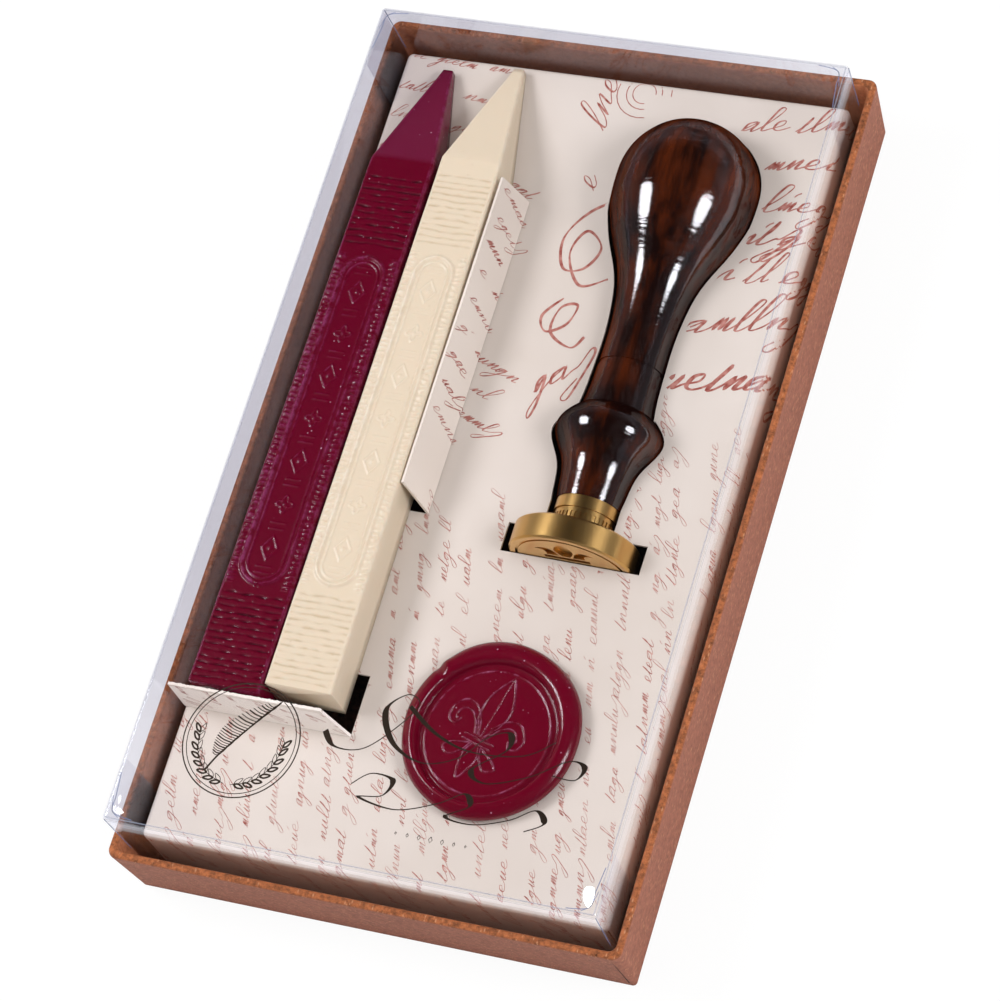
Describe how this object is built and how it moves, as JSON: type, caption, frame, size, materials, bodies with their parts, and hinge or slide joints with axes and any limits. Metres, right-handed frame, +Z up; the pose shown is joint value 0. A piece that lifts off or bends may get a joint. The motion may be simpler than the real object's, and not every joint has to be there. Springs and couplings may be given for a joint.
{
  "type": "boxed wax seal set",
  "caption": "Paper-wrapped tray with a clear lift-off cover and a card insert that holds sealing wax sticks, a turned stamp and a pressed wax seal.",
  "frame": {"origin": "centre of the tray's underside, on the surface it rests on", "axes": "+Y along the tray, towards the points of the wax sticks; +X across it, towards the stamp; +Z up"},
  "size_m": [0.0948, 0.1708, 0.0283],
  "materials": {
    "greyboard": "matte",
    "wrap_paper": "matte fibre-flecked paper",
    "base_paper": "matte",
    "liner_paper": "matte",
    "clear_film": "clear folded film",
    "insert_card": "matte printed card",
    "wax_burgundy": "satin sealing wax",
    "wax_ivory": "satin sealing wax",
    "wax_seal": "satin sealing wax",
    "glue": "set glue",
    "lacquered_wood": "gloss lacquer",
    "brass": "turned and brushed"
  },
  "bodies": {
    "tray": {"base_sheet": "base_paper", "tray_board": "greyboard", "tray_wrap": "wrap_paper", "floor_liner": "liner_paper"},
    "cover": {"cover_film": "clear_film", "cover_tab_back_left": "clear_film", "cover_tab_back_right": "clear_film", "cover_tab_front_left": "clear_film", "cover_tab_front_right": "clear_film"},
    "insert": {"insert_card": "insert_card", "wax_seal": "wax_seal", "seal_glue_dot": "glue"},
    "end_flap": {"end_flap": "insert_card"},
    "side_flap": {"side_flap": "insert_card"},
    "burgundy_stick": {"wax_stick_burgundy": "wax_burgundy"},
    "ivory_stick": {"wax_stick_ivory": "wax_ivory"},
    "stamp": {"stamp_handle": "lacquered_wood", "stamp_ferrule": "brass", "stamp_sleeve": "brass"},
    "die": {"stamp_die": "brass"}
  },
  "joints": [
    {"name": "cover_lift", "type": "slide", "parent": "tray", "child": "cover", "axis": [0, 0, 1], "range_m": [0, 0.08]},
    {"name": "insert_lift", "type": "slide", "parent": "tray", "child": "insert", "axis": [0, 0, 1], "range_m": [0, 0.02]},
    {"name": "burgundy_lift", "type": "slide", "parent": "insert", "child": "burgundy_stick", "axis": [0, 0, 1], "range_m": [0, 0.016]},
    {"name": "ivory_lift", "type": "slide", "parent": "insert", "child": "ivory_stick", "axis": [0, 0, 1], "range_m": [0, 0.016]},
    {"name": "stamp_lift", "type": "slide", "parent": "insert", "child": "stamp", "axis": [0, 0, 1], "range_m": [0, 0.02]},
    {"name": "side_flap_fold", "type": "hinge", "parent": "insert", "child": "side_flap", "pos_m": [-0.01039, 0, 0.01461], "axis": [0, 1, 0], "range_deg": [0, 105]},
    {"name": "end_flap_fold", "type": "hinge", "parent": "insert", "child": "end_flap", "pos_m": [-0.0273, -0.05519, 0.01445], "axis": [1, 0, 0], "range_deg": [0, 88]},
    {"name": "die_turn", "type": "hinge", "parent": "stamp", "child": "die", "pos_m": [0.01753, -0.0161, 0.01299], "axis": [0.0105, 0.9997, 0.0237], "continuous": true}
  ],
  "couplings": [
    {"joint": "insert_lift", "follows": "cover_lift", "ratio": 0.25},
    {"joint": "burgundy_lift", "follows": "cover_lift", "ratio": 0.2},
    {"joint": "ivory_lift", "follows": "cover_lift", "ratio": 0.2},
    {"joint": "stamp_lift", "follows": "cover_lift", "ratio": 0.25}
  ]
}
